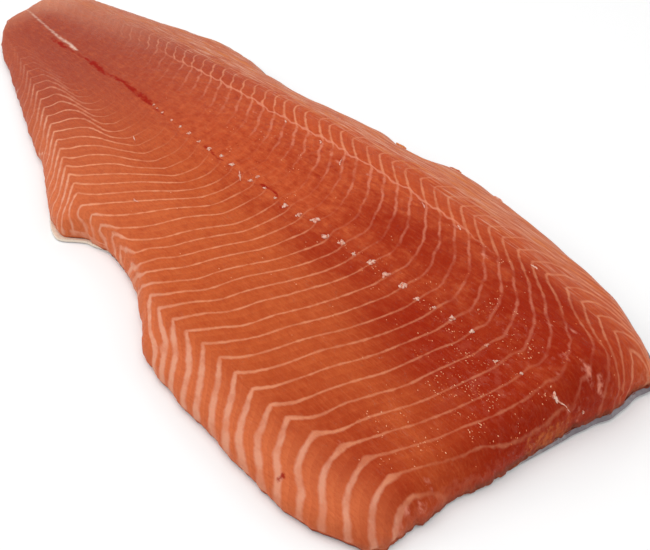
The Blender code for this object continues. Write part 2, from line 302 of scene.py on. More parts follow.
# Where each line bends sharply on the belly ridge: (station on the midline, lane of the bend, shift)
BENDS = (
    (166, -1.95, -36), (230, -1.95, -34), (263, -1.93, -36), (296, -1.93, -41), (307, -1.92, -42),
    (318, -1.93, -43), (328, -2.07, -42), (338, -2.22, -42.5), (348, -2.3, -42.5), (361, -2.4, -45),
    (370, -2.47, -44), (380, -2.5, -37), (402, -2.5, -40.5), (412.5, -2.27, -41), (423, -2.2, -40.5),
    (433, -2.08, -38.7), (445, -2.05, -40), (455, -2, -38), (466, -1.97, -37), (476, -1.97, -35),
    (486, -1.97, -32.5), (497, -1.97, -31.2), (507, -1.97, -31), (518, -1.95, -28), (528, -1.87, -25),
    (538, -1.85, -24.5), (548, -1.85, -21.5),
)
BEND_MARGIN = 0.12        # rows of LINE_SHIFTS this close to a bend give way to it
LEAST_LINE_STEP = 1e-6    # so that lines never cross
PATTERN_LANES = (-3, -2.5, -2, -1.5, -1, -0.5, 0, 0.5, 1, 1.5, 2.1, 3, 3.5, 4)
PATTERN_STATIONS = (90, 125, 160, 200, 240, 280, 330, 380, 440, 500, 550)
# How plainly the lines show, and half their width in millimetres: a row for each lane
LINE_STRENGTH = (
    (0.0, 0.1, 0.3, 0.4, 0.6, 0.7, 0.8, 0.9, 0.95, 0.9, 0.8),
    (0.0, 0.1, 0.3, 0.4, 0.6, 0.8, 0.8, 0.9, 0.95, 0.9, 0.85),
    (0.1, 0.35, 0.65, 0.9, 0.95, 0.95, 0.85, 0.9, 1.0, 1.0, 0.9),
    (0.05, 0.25, 0.6, 0.9, 0.95, 0.95, 0.9, 0.9, 0.9, 0.8, 0.12),
    (0.0, 0.05, 0.15, 0.5, 0.8, 0.85, 0.85, 0.85, 0.85, 0.7, 0.35),
    (0.0, 0.0, 0.0, 0.05, 0.12, 0.25, 0.6, 0.8, 0.8, 0.6, 0.35),
    (0.0, 0.0, 0.0, 0.0, 0.05, 0.08, 0.12, 0.25, 0.45, 0.45, 0.3),
    (0.0, 0.0, 0.0, 0.0, 0.03, 0.05, 0.1, 0.2, 0.4, 0.45, 0.3),
    (0.0, 0.0, 0.05, 0.15, 0.25, 0.35, 0.45, 0.55, 0.65, 0.6, 0.4),
    (0.0, 0.0, 0.15, 0.3, 0.45, 0.55, 0.65, 0.7, 0.75, 0.65, 0.4),
    (0.05, 0.2, 0.45, 0.6, 0.65, 0.75, 0.75, 0.75, 0.7, 0.55, 0.45),
    (0.1, 0.3, 0.5, 0.6, 0.7, 0.7, 0.7, 0.65, 0.65, 0.8, 0.75),
    (0.05, 0.15, 0.25, 0.3, 0.4, 0.4, 0.4, 0.4, 0.65, 0.9, 0.85),
    (0.0, 0.1, 0.1, 0.1, 0.15, 0.15, 0.2, 0.25, 0.4, 0.7, 0.7),
)
LINE_HALF_WIDTH = (
    (0.7, 0.7, 0.7, 0.6, 0.6, 0.45, 0.6, 1.1, 1.5, 1.5, 1.3),
    (0.6, 0.6, 0.6, 0.55, 0.5, 0.45, 0.6, 1.1, 1.45, 1.45, 1.2),
    (0.6, 0.6, 0.6, 0.7, 0.7, 0.65, 0.6, 0.8, 0.95, 1.1, 0.95),
    (0.5, 0.5, 0.55, 0.65, 0.6, 0.5, 0.45, 0.45, 0.5, 0.5, 0.45),
    (0.45, 0.45, 0.45, 0.45, 0.45, 0.45, 0.45, 0.45, 0.5, 0.5, 0.4),
    (0.4, 0.4, 0.4, 0.4, 0.4, 0.45, 0.45, 0.45, 0.45, 0.45, 0.4),
    (0.4, 0.4, 0.4, 0.4, 0.4, 0.4, 0.4, 0.5, 0.55, 0.6, 0.6),
    (0.5, 0.5, 0.5, 0.5, 0.5, 0.5, 0.5, 0.5, 0.6, 0.65, 0.6),
    (0.6, 0.6, 0.7, 0.7, 0.75, 0.75, 0.7, 0.65, 0.65, 0.65, 0.6),
    (0.5, 0.5, 0.6, 0.65, 0.7, 0.75, 0.75, 0.7, 0.6, 0.6, 0.55),
    (0.4, 0.4, 0.45, 0.5, 0.55, 0.6, 0.6, 0.6, 0.6, 0.6, 0.55),
    (0.4, 0.4, 0.4, 0.45, 0.5, 0.5, 0.5, 0.5, 0.6, 0.65, 0.6),
    (0.4, 0.4, 0.4, 0.4, 0.45, 0.45, 0.45, 0.5, 0.6, 0.7, 0.7),
    (0.4, 0.4, 0.4, 0.4, 0.4, 0.4, 0.4, 0.4, 0.5, 0.6, 0.6),
)

# Streaks along the fish: (station, lane, half width across in mm, strength)
BLOOD_STREAK = (
    (82, 0.38, 0.6, 0.0), (96, 0.3, 1.8, 0.9), (108, 0.26, 1.6, 1.0), (118, 0.27, 1.0, 0.6),
    (138, 0.27, 1.2, 0.6), (146, 0.26, 1.9, 1.05), (158, 0.22, 2.1, 1.15), (168, 0.18, 1.3, 0.8),
    (178, 0.2, 1.5, 0.9), (190, 0.22, 1.7, 1.0), (202, 0.18, 1.7, 1.0), (210, 0.18, 2.2, 1.15),
    (220, 0.14, 2.1, 1.1), (228, 0.09, 1.0, 0.7), (262, -0.01, 0.6, 0.5), (280, -0.03, 0.5, 0.35),
    (300, -0.08, 1.0, 0.9), (306, -0.12, 0.9, 0.9), (312, -0.08, 0.5, 0.4), (338, -0.05, 0.6, 0.4),
    (344, -0.05, 1.0, 0.95), (356, -0.02, 1.0, 0.95), (362, -0.12, 0.6, 0.4), (369, -0.22, 1.0, 0.6),
    (378, -0.2, 0.4, 0.1), (400, -0.1, 0.4, 0.0),
)
TENDON_STREAK = (
    (12, 1.08, 1.3, 0.35), (24, 1.0, 1.5, 0.45), (40, 0.85, 1.5, 0.5), (72, 0.6, 1.5, 0.55),
    (95, 0.47, 1.6, 0.65), (108, 0.43, 1.6, 0.72), (120, 0.37, 1.5, 0.85), (126, 0.34, 0.6, 0.3),
    (148, 0.3, 0.5, 0.2), (154, 0.28, 0.8, 0.5), (158, 0.25, 0.4, 0.0),
)
SPOT_FALL = 1.2           # how steeply streaks and spots fade from their middle
LEAST_HALF_WIDTH = 0.1
# Soft spots: (station, lane, half length along in mm, half width across in mm, strength)
BLOOD_SPOTS = ((495, -2.75, 1.2, 2.6, 1.1), (134, -1.95, 2, 1.5, 0.4), (178, -0.43, 5, 1.2, 0.35))
LINING_SPOTS = (
    (128, -2.95, 4, 1.6, 0.7), (282, -2.99, 9, 0.9, 0.5), (205, -2.99, 25, 1.0, 0.4), (40, -2.9, 5, 1.4, 0.5),
)
# Torn scraps of pinkish film near the head cut and along the septum of the back
FILM_SPOTS = (
    (541, -2.25, 2.5, 2.5, 0.4), (539, -2.0, 2.5, 3, 0.45), (541, -1.8, 2, 3, 0.5), (537, -1.62, 3, 2, 0.5),
    (536, 0.7, 4, 1.6, 0.55), (540, 0.3, 3, 1.6, 0.5), (546, 1.0, 5, 2.2, 0.75), (552, 1.3, 3, 2.4, 0.7),
    (544, 0.0, 5, 1.6, 0.5), (549, 0.14, 3, 1.4, 0.4), (552, 0.5, 3, 1.2, 0.4), (508, 0.3, 5, 1.6, 0.45),
    (520, 1.25, 4, 1.4, 0.45), (484, -0.1, 7, 2.4, 0.35), (500, -1.86, 8, 2.5, 0.3), (530, 1.7, 5, 1.6, 0.45),
    (258, 1.55, 3, 1.2, 0.45), (286, 1.6, 4, 1.2, 0.45), (306, 1.9, 4, 1.2, 0.5), (327, 1.95, 4, 1.2, 0.5),
    (340, 1.85, 4, 1.4, 0.55), (359, 1.95, 4, 1.4, 0.55), (364, 1.5, 4, 1.4, 0.5), (384, 1.7, 4, 1.4, 0.5),
    (422, 1.9, 5, 1.4, 0.5), (446, 2.0, 5, 1.6, 0.5), (470, 1.7, 4, 1.6, 0.5), (489, 2.85, 4, 1.4, 0.5),
)
# Fat in the head cut and at the edges
FAT_SPOTS = (
    (548.5, -0.5, 3, 4, 0.5), (550, -0.38, 3, 4, 0.6), (550.8, -0.24, 3, 4, 0.65), (551.6, -0.06, 3, 4, 0.6),
    (552.2, 0.12, 2.5, 3, 0.45), (361, 3.9, 5, 3, 0.8), (66, -2.95, 6, 1.6, 0.6),
)
# Where a pale line thickens, by how many millimetres to each side
LINE_KNOTS = (
    (491, -1.95, 5, 2.6, 0.8), (503, -1.88, 5, 2.6, 0.8), (514, -1.86, 5, 2.8, 1.0),
    (528, -1.86, 5, 2.8, 0.8), (480, -1.98, 4, 2.2, 0.4), (470, -1.98, 4, 2.2, 0.3),
)
# Where the flesh is wettest and strewn with flecks
WET_ZONES = (
    (520, -0.4, 34, 26, 1.0), (505, 0.4, 40, 14, 0.6), (440, -0.1, 60, 9, 0.35), (350, 0.2, 60, 12, 0.2),
    (300, 0.9, 60, 14, 0.2), (515, -1.4, 22, 14, 0.5), (230, 0.9, 40, 12, 0.12), (480, 1.9, 30, 8, 0.25),
    (400, -1.0, 70, 14, 0.1),
)
# Places where the muscle is deepest red
DEEP_ZONES = (
    (355, -0.4, 60, 14, 0.35), (420, -0.3, 70, 18, 0.7), (500, -0.4, 70, 28, 1.0),
    (540, -0.6, 40, 36, 0.85), (515, -1.9, 60, 22, 0.45), (520, 1.0, 60, 26, 1.0), (440, 0.8, 70, 20, 0.8),
    (350, 0.9, 70, 18, 0.35), (545, 2.2, 30, 12, 0.3), (215, -1.1, 34, 8, 0.3), (300, -0.85, 50, 9, 0.25),
    (230, 2.6, 40, 7, 0.3), (500, 2.2, 50, 12, 0.8),
)


def straight(points, at):
    """The straight lines through (place, value) points."""
    return np.interp(at, *zip(*points))


def line_stations(lanes):
    """Station of every pale line at these lanes: one row of the array for each line."""
    bend_stations, bend_lanes, bend_shifts = zip(*BENDS)
    rows = []
    for anchor in map(float, MIDLINE_STATIONS):
        corner = np.interp(anchor, bend_stations, bend_lanes)
        bend = [(corner, np.interp(anchor, bend_stations, bend_shifts))]
        known = [(lane, straight(points, anchor)) for lane, points in LINE_SHIFTS]
        below = [(lane, shift) for lane, shift in known if lane < corner - BEND_MARGIN] + bend
        above = bend + [(lane, shift) for lane, shift in known if lane > corner + BEND_MARGIN]
        rows.append(anchor + np.where(lanes < corner, curve(below, lanes), curve(above, lanes)))
    return np.array(rows)


def line_phase(station, lanes):
    """A count that passes a whole number at each pale line, over a grid with one row for each lane."""
    lines = line_stations(lanes)
    count = np.arange(len(lines), dtype=float)
    return np.stack([
        np.interp(row, np.maximum.accumulate(lines[:, index] + LEAST_LINE_STEP * count), count)
        for index, row in enumerate(station)
    ])


def spread(table, station, lane):
    """Values of a table of PATTERN_LANES by PATTERN_STATIONS over the grid."""
    rows = np.stack([np.interp(station, PATTERN_STATIONS, row) for row in table])
    return through(PATTERN_LANES, rows, lane)


def across(station, lane):
    """Distance from the midline at single stations and lanes."""
    station, lane = np.array(station, float), np.array(lane, float)
    return through(LANES, lane_places(station), lane)


def streak(path, station, y):
    """How strongly a streak with soft edges covers each point of the grid."""
    at, lane, half_width, strength = (np.array(column, float) for column in zip(*path))
    centre, half_width, strength = (
        np.interp(station, at, values, right=0.0) for values in (across(at, lane), half_width, strength)
    )
    reach = (y - centre) / np.maximum(half_width, LEAST_HALF_WIDTH)
    return strength * np.exp(-SPOT_FALL * reach ** 2) * (station > at[0])


def spots_cover(spots, station, y):
    """How strongly a set of soft-edged spots covers each point of the grid."""
    cover = np.zeros_like(station)
    for at, spot_lane, half_length, half_width, strength in spots:
        centre_y = across([at], [spot_lane])[0]
        reach = ((station - at) / half_length) ** 2 + ((y - centre_y) / half_width) ** 2
        cover = np.maximum(cover, strength * np.exp(-SPOT_FALL * reach))
    return cover


# Meshes

# Rows of the fine grid: (lane, rows from the lane before it)
ROWS_BETWEEN_LANES = ((-3, 0), (-2.8, 8), (-2, 20), (0, 62), (2, 38), (3, 14), (3.6, 20), (4, 18))
# Columns of the fine grid: how far the first and last lie from a cut, and how many lie between
END_STEPS = (0, 0.4, 0.9, 1.5, 2.2, 3.0, 3.9, 4.9, 6.0, 7.2, 8.5, 9.8)
MIDDLE_STATIONS = 330
BOX_MARGIN = 1e-6
FLAT_ANGLE, FLAT_NORMAL = 0.0005, -0.999
FLESH_SHARP_ANGLE, SKIN_SHARP_ANGLE = 1.2, 0.9
BLOCK_BULGE, FIBRE_RELIEF, LINE_RELIEF, LOIN_RELIEF = 0.16, 0.12, 0.12, 0.4
FAT_HEIGHT, BLOOD_DEPTH = 0.6, 0.35
BLOCK_ROUNDNESS, BLOCK_LEVEL = 0.6, 0.7
RIDGE_REACH, RIDGE_EDGE = 1.4, 0.4
LINE_WAVER, CALM_WAVER_SHARE = 0.09, 0.2
TORN_LOIN = ((0, 0), (0.25, 1), (1.8, 1), (2.05, 0))        # (lane, how far the loin is torn up)
TORN_LENGTH = ((120, 0.3), (220, 1))                        # (station, how far the loin is torn up)
LEAST_DENSITY = 0.02
EDGE_CALM, FLECK_EDGE = 4, 0.9
TEAR_DEPTH, TEAR_WIDTH, TAIL_TEAR_SHARE = 1.5, 7.0, 0.6
SHRED_HEIGHT, SHRED_START, SHRED_WIDTH, SHRED_BELLY_WIDTH = 1.2, 3, 24, 6
EDGE_BUMP, EDGE_BUMP_WIDTH = 1.0, 8
RIM_WIDTH, RIM_TUCK, RIM_FOOT, RIM_DROOP = 2.2, 1.3, 0.25, 1.2
SKIN_EVERY = 2
BARE_CORNER_WIDTH = 30
BARE_CORNER = ((225, 0.35), (245, 1), (300, 1), (320, 0.35))        # (station, how bare the skin is)
TORN_LEVEL, TORN_MIDDLE, MOST_TORN = 0.3, 0.45, 1.2
# Unevenness: parts of (divisor of the station, factor of the distance across, length in mm, seed, share)
LINE_WAVES = ((1, 1, 8, 51, 1), (1, 1, 3.6, 52, 0.7))
LUMP_WAVES = ((1, 1, 6.0, 53, 1), (1, 1, 3.4, 54, 0.6))
FIBRE_WAVES = ((7, 1, 2.2, 11, 0.6), (5, 1, 5.0, 12, 0.4))
SHRED_WAVES = ((1, 1.6, 4.5, 31, 1), (1, 1.3, 2.2, 32, 0.5))
EDGE_WAVES = ((1, 0, 9.0, 35, 1), (1, 0, 3.5, 36, 0.7))
TORN_WAVE = ((1, 1, 3.2, 21, 1),)
CLUSTER_WAVE = ((1, 1, 10, 55, 2.6),)
CLUSTER_LEVEL, MOST_CLUSTERED = 0.25, 2
STRAND_SIDES, STRAND_FLATNESS = 8, 0.6
LEAST_TAPER, STRAND_SWELL, STRAND_WAVER, STRAND_LIFT = 0.03, 0.35, 0.35, 0.6


def waves(station, y, parts):
    """Unevenness made of several parts, over the grid."""
    return sum(
        share * wave(station / divisor, factor * y, length, seed)
        for divisor, factor, length, seed, share in parts
    )


def fine_grid():
    """Lanes of the rows of the fine grid, then station, lane and distance from both cuts at its points."""
    lanes = [float(ROWS_BETWEEN_LANES[0][0])]
    for (start, _), (end, count) in zip(ROWS_BETWEEN_LANES, ROWS_BETWEEN_LANES[1:]):
        lanes += list(np.linspace(start, end, count + 1)[1:])
    lanes = np.array(lanes)
    tail, head = end_cuts(lanes)
    steps = np.array(END_STEPS)
    length = (head - tail)[:, None]
    middle = np.linspace(steps[-1], length - steps[-1], MIDDLE_STATIONS + 1, axis=-1).reshape(len(lanes), -1)
    ends = np.tile(steps[:-1], (len(lanes), 1))
    from_tail = np.concatenate([ends, middle, length - steps[-2::-1]], axis=1)
    station = tail[:, None] + from_tail
    lane = np.broadcast_to(lanes[:, None], station.shape).copy()
    return lanes, station, lane, from_tail, length - from_tail


def inside_box(points):
    """Points in metres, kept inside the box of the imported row."""
    low, high = np.array(cad_box[0]), np.array(cad_box[1])
    return np.clip(points, low + BOX_MARGIN, high - BOX_MARGIN)


def to_row_frame(points):
    """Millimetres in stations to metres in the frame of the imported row."""
    return inside_box((points - np.array(CENTRE)) * MM)


def placed(name, data):
    """An object with this data, in the scene."""
    piece = bpy.data.objects.new(name, data)
    bpy.context.scene.collection.objects.link(piece)
    return piece


def closed_sheet(name, below, above):
    """A closed mesh between two grids of points with the same edge."""
    rows, columns = above.shape[:2]
    under = rows * columns
    index = np.arange(under).reshape(rows, columns)
    quads = np.stack([index[:-1, :-1], index[:-1, 1:], index[1:, 1:], index[1:, :-1]], axis=-1).reshape(-1, 4)
    walls = []
    for edge, forward in ((index[0], True), (index[-1], False), (index[:, 0], False), (index[:, -1], True)):
        here, there = (edge[:-1], edge[1:]) if forward else (edge[1:], edge[:-1])
        walls.append(np.stack([here + under, there + under, there, here], axis=-1))
    faces = np.concatenate([quads, quads[:, ::-1] + under] + walls)
    points = np.concatenate([above.reshape(-1, 3), below.reshape(-1, 3)])
    mesh = bpy.data.meshes.new(name)
    mesh.from_pydata(to_row_frame(points).tolist(), [], faces.tolist())
    return placed(name, mesh)


def thin_out_flat_part(piece):
    """Joins the flat faces underneath, which carry no form, and leaves everything as triangles."""
    shape = bmesh.new()
    shape.from_mesh(piece.data)
    low = {face for face in shape.faces if face.normal.z < FLAT_NORMAL}
    edges = [edge for edge in shape.edges if all(face in low for face in edge.link_faces)]
    points = [point for point in shape.verts if all(face in low for face in point.link_faces)]
    bmesh.ops.dissolve_limit(shape, angle_limit=FLAT_ANGLE, verts=points, edges=edges)
    bmesh.ops.triangulate(shape, faces=shape.faces[:])
    shape.to_mesh(piece.data)
    shape.free()


def add_values(piece, **values):
    """Stores the numbers of a grid on its points, and 0 on the points of the mesh that it doesn't reach."""
    for name, numbers in values.items():
        layer = piece.data.attributes.new(name, "FLOAT", "POINT")
        rest = np.zeros(len(piece.data.vertices) - numbers.size)
        layer.data.foreach_set("value", np.concatenate([numbers.ravel(), rest]).astype(np.float32))


def point_over(surface, station, lane, height):
    """The point above this station and lane, in millimetres, this high over the flesh."""
    lanes, stations, top = surface
    row = int(np.clip(np.searchsorted(lanes, lane) - 1, 0, len(lanes) - 2))
    share = (lane - lanes[row]) / (lanes[row + 1] - lanes[row])
    near = [
        np.array([np.interp(station, stations[r], top[r, :, axis]) for axis in range(3)])
        for r in (row, row + 1)
    ]
    point = near[0] * (1 - share) + near[1] * share
    point[2] += height
    return point


def strand(shape, points, widths):
    """A tapered strand through points in millimetres, oval in section, with closed ends."""
    direction = np.gradient(points, axis=0)
    direction /= np.linalg.norm(direction, axis=1, keepdims=True)
    side = np.cross([0, 0, 1], direction)
    side /= np.linalg.norm(side, axis=1, keepdims=True)
    up = np.cross(direction, side)
    rings = []
    for i, point in enumerate(points):
        ring = []
        for j in range(STRAND_SIDES):
            turn = 2 * math.pi * j / STRAND_SIDES
            offset = widths[i] * (math.cos(turn) * side[i] + STRAND_FLATNESS * math.sin(turn) * up[i])
            ring.append(shape.verts.new(to_row_frame(point + offset)))
        rings.append(ring)
    for here, there in zip(rings, rings[1:]):
        for j in range(STRAND_SIDES):
            k = (j + 1) % STRAND_SIDES
            shape.faces.new((here[j], here[k], there[k], there[j]))
    shape.faces.new(rings[0][::-1])
    shape.faces.new(rings[-1])


def strand_on(shape, surface, spots, width, height, steps, seed):
    """A strand along the flesh through (station, lane) spots, thickest in the middle, a little uneven."""
    places = np.linspace(0, 1, len(spots))
    t = np.linspace(0, 1, steps)
    station, lane = (np.interp(t, places, values) for values in zip(*spots))
    jitter = wave(12 * t, t + 9.1 * seed, 1.6, 40)
    points = [
        point_over(surface, a, b, height * (1 + STRAND_LIFT * j)) for a, b, j in zip(station, lane, jitter)
    ]
    points = np.array(points) + STRAND_WAVER * width * np.stack([0 * t, jitter, 0 * t], axis=1)
    taper = np.sqrt(np.clip(1 - (2 * t - 1) ** 2, LEAST_TAPER, 1))
    swell = 1 + STRAND_SWELL * wave(9 * t, t + 3.7 * seed, 1.4, 41)
    strand(shape, points, width * (taper * swell))


def finish_tissue(name, shape, material):
    """Turns strands into a piece that rides on the flesh."""
    bmesh.ops.recalc_face_normals(shape, faces=shape.faces[:])
    mesh = bpy.data.meshes.new(name)
    shape.to_mesh(mesh)
    shape.free()
    mesh.shade_smooth()
    mesh.materials.append(material)
    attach(placed(name, mesh), "root")


# Tissue round the pin bones: (station, lane, width in millimetres)
PIN_BONES = (
    (228, 0.13, 0.5), (233, 0.1, 0.4), (240, 0.07, 0.55), (252, 0.03, 0.55), (262, 0.02, 0.6),
    (272, 0.0, 0.75), (284, -0.04, 0.7), (295, -0.05, 0.9), (306, -0.03, 0.85), (317, -0.06, 0.9),
    (329, -0.16, 0.5), (337, 0.03, 0.7), (337.5, -0.12, 0.8), (348, -0.08, 0.6), (359, -0.12, 0.6),
    (368, -0.13, 1.0), (379.5, -0.13, 0.9), (389, -0.04, 1.25), (402.5, -0.17, 1.1), (411.5, -0.09, 1.1),
    (422, -0.13, 0.7), (432.5, -0.08, 1.15), (443.5, -0.1, 1.15), (454.5, -0.08, 1.2), (465.5, -0.12, 0.8),
    (475, -0.08, 0.6), (485.5, -0.05, 0.95), (497, -0.03, 0.7), (507, -0.08, 0.6), (516, -0.2, 0.6),
    (528, -0.12, 0.5), (545, -0.01, 0.7),
)
# Each lump of tissue: how far it lies from the pin bone, its half length and its thickness, in widths
LUMPS = ((0.0, 1.4, 0.95), (0.5, 1.15, 0.8), (0.85, 0.95, 0.65), (1.2, 0.8, 0.5))
LUMP_TURN, LUMP_LEAN = 2.4, 0.7
LUMP_HEIGHT, THREAD_HEIGHT = 0.05, 0.1
LUMP_STEPS, THREAD_STEPS, FAT_STEPS = 7, 11, 13
THREAD_SEEDS, FAT_SEEDS = 100, 200
# Threads and shreds: spots of (station, lane), then the half width in millimetres
THREADS = (
    (((325, -0.08), (330, -0.17), (334, -0.24)), 0.4),
    (((543.2, 0.02), (544.4, -0.03), (547.5, 0.06), (550.5, 0.2)), 0.38),
    (((542.6, 0.04), (543.6, 0.0), (544.4, -0.04)), 0.7),
    (((552.6, 0.56), (553.4, 0.62)), 0.6),
    (((305, 1.96), (307, 1.92), (308, 1.88)), 0.4),
    (((337, 1.92), (339, 1.88), (340, 1.8)), 0.5),
    (((362, 1.65), (364, 1.5), (366, 1.42)), 0.35),
    (((419, 1.96), (422, 1.9), (424, 1.82)), 0.35),
    (((444, 2.05), (446, 2.02), (448, 1.96)), 0.4),
    (((486, 2.8), (489, 2.88), (490, 2.84)), 0.45),
    (((429, 3.78), (432, 3.82), (435, 3.8)), 0.9),
    (((251, -0.72), (253, -0.74), (256, -0.76)), 0.4),
    (((304, -1.43), (306, -1.44), (309, -1.42)), 0.4),
)
# Lumps of fat on the back edge: spots of (station, lane), then half the width and the height in millimetres
FAT_LUMPS = (
    (((357, 3.76), (361, 3.8), (365, 3.78)), 1.3, 0.5),
    (((394, 3.8), (398, 3.84), (402, 3.82)), 0.8, 0.3),
)


def make_tissue(surface):
    """The white tissue round the pin bones with its loose threads, and the yellow fat of the back edge."""
    shape = bmesh.new()
    for number, (station, lane, width) in enumerate(PIN_BONES):
        for lump, (reach, half_length, thickness) in enumerate(LUMPS):
            turn = LUMP_TURN * (5 * number + lump)
            along = station + reach * width * math.cos(turn)
            aside = lane + reach * width * math.sin(turn) / LANE_WIDTH
            half = half_length * width
            lean = LUMP_LEAN * math.sin(1.7 * turn)
            spots = [(along + k * half, aside + k * half * lean / LANE_WIDTH) for k in (-1, 0, 1)]
            height = LUMP_HEIGHT + LUMP_HEIGHT * width
            strand_on(shape, surface, spots, thickness * width, height, LUMP_STEPS, 4 * number + lump)
    for number, (spots, width) in enumerate(THREADS):
        strand_on(shape, surface, spots, width, THREAD_HEIGHT, THREAD_STEPS, number + THREAD_SEEDS)
    finish_tissue("pin_bone_tissue", shape, tissue_material())
    shape = bmesh.new()
    for number, (spots, width, height) in enumerate(FAT_LUMPS):
        strand_on(shape, surface, spots, width, height, FAT_STEPS, number + FAT_SEEDS)
    finish_tissue("fat_lumps", shape, fat_material())


# Flecks of fat and drops of fluid, strewn over the flesh by Geometry Nodes; their cream colour is a painted
# glint

FLECKS_PER_SQUARE_METRE = 420000.0
SHORTEST_FLECK, LONGEST_FLECK = 0.15, 0.6      # half lengths in millimetres
FLECK_WIDTH, FLECK_HEIGHT = 0.45, 0.3          # shares of the half length
FLECK_HEADINGS = (0.6, -0.7, 0.0), (1.0, 0.5, 0.0)
FLECK_SEED = 7


def fleck_nodes():
    """A node group that strews small oval flecks over a mesh, closer together where fleck_share is high."""
    tree = bpy.data.node_groups.new("flecks", "GeometryNodeTree")
    for name, kind in (
        ("Geometry", "Geometry"), ("Flecks per Square Metre", "Float"), ("Shortest", "Float"),
        ("Longest", "Float"), ("Seed", "Int"), ("Finish", "Material"),
    ):
        tree.interface.new_socket(name, in_out="INPUT", socket_type="NodeSocket" + kind)
    tree.interface.new_socket("Geometry", in_out="OUTPUT", socket_type="NodeSocketGeometry")

    def node(kind, inputs, **settings):
        """The outputs of a new node with these settings and these inputs, each a value or another output."""
        made = tree.nodes.new(kind)
        for name, value in settings.items():
            setattr(made, name, value)
        for socket, value in inputs.items():
            if isinstance(value, bpy.types.NodeSocket):
                tree.links.new(value, made.inputs[socket])
            else:
                made.inputs[socket].default_value = value
        return made.outputs

    def product(first, second):
        return node("ShaderNodeMath", {0: first, 1: second}, operation="MULTIPLY")[0]

    given = node("NodeGroupInput", {})
    share = node("GeometryNodeInputNamedAttribute", {"Name": "fleck_share"}, data_type="FLOAT")["Attribute"]
    density = product(share, given["Flecks per Square Metre"])
    spots = node("GeometryNodeDistributePointsOnFaces", {
        "Mesh": given["Geometry"], "Density": density, "Seed": given["Seed"],
    })
    bounds = {2: given["Shortest"], 3: given["Longest"]}
    length = node("FunctionNodeRandomValue", bounds, data_type="FLOAT")[1]
    sizes = {0: length, 1: product(length, FLECK_WIDTH), 2: product(length, FLECK_HEIGHT)}
    heading = node("FunctionNodeRandomValue", dict(enumerate(FLECK_HEADINGS)), data_type="FLOAT_VECTOR")[0]
    turn = node("FunctionNodeAlignRotationToVector", {
        "Rotation": spots["Rotation"], "Vector": heading,
    }, axis="X", pivot_axis="Z")["Rotation"]
    strewn = node("GeometryNodeInstanceOnPoints", {
        "Points": spots["Points"], "Rotation": turn, "Scale": node("ShaderNodeCombineXYZ", sizes)[0],
        "Instance": node("GeometryNodeMeshIcoSphere", {"Radius": 1.0, "Subdivisions": 1})["Mesh"],
    })["Instances"]
    solid = node("GeometryNodeRealizeInstances", {"Geometry": strewn})["Geometry"]
    ready = node("GeometryNodeSetMaterial", {"Geometry": solid, "Material": given["Finish"]})["Geometry"]
    node("NodeGroupOutput", {"Geometry": ready})
    return tree


def make_flecks(flesh):
    """The flecks, as one plain mesh."""
    strewn = placed("fleck_ground", flesh.data.copy())
    nodes = strewn.modifiers.new("flecks", "NODES")
    nodes.node_group = fleck_nodes()
    values = {
        "Flecks per Square Metre": FLECKS_PER_SQUARE_METRE, "Shortest": SHORTEST_FLECK * MM,
        "Longest": LONGEST_FLECK * MM, "Seed": FLECK_SEED, "Finish": fleck_material(),
    }
    for item in nodes.node_group.interface.items_tree:
        if item.in_out == "INPUT" and item.name in values:
            nodes[item.identifier] = values[item.name]
    ready = strewn.evaluated_get(bpy.context.evaluated_depsgraph_get())
    mesh = bpy.data.meshes.new_from_object(ready)
    bpy.data.objects.remove(strewn)
    places = np.empty(3 * len(mesh.vertices), np.float32)
    mesh.vertices.foreach_get("co", places)
    mesh.vertices.foreach_set("co", inside_box(places.reshape(-1, 3)).astype(np.float32).ravel())
    mesh.shade_smooth()
    # the flecks' cream colour is a painted glint
    mesh.name = "fluid_flecks_painted_glints"
    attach(placed("fluid_flecks_painted_glints", mesh), "root")


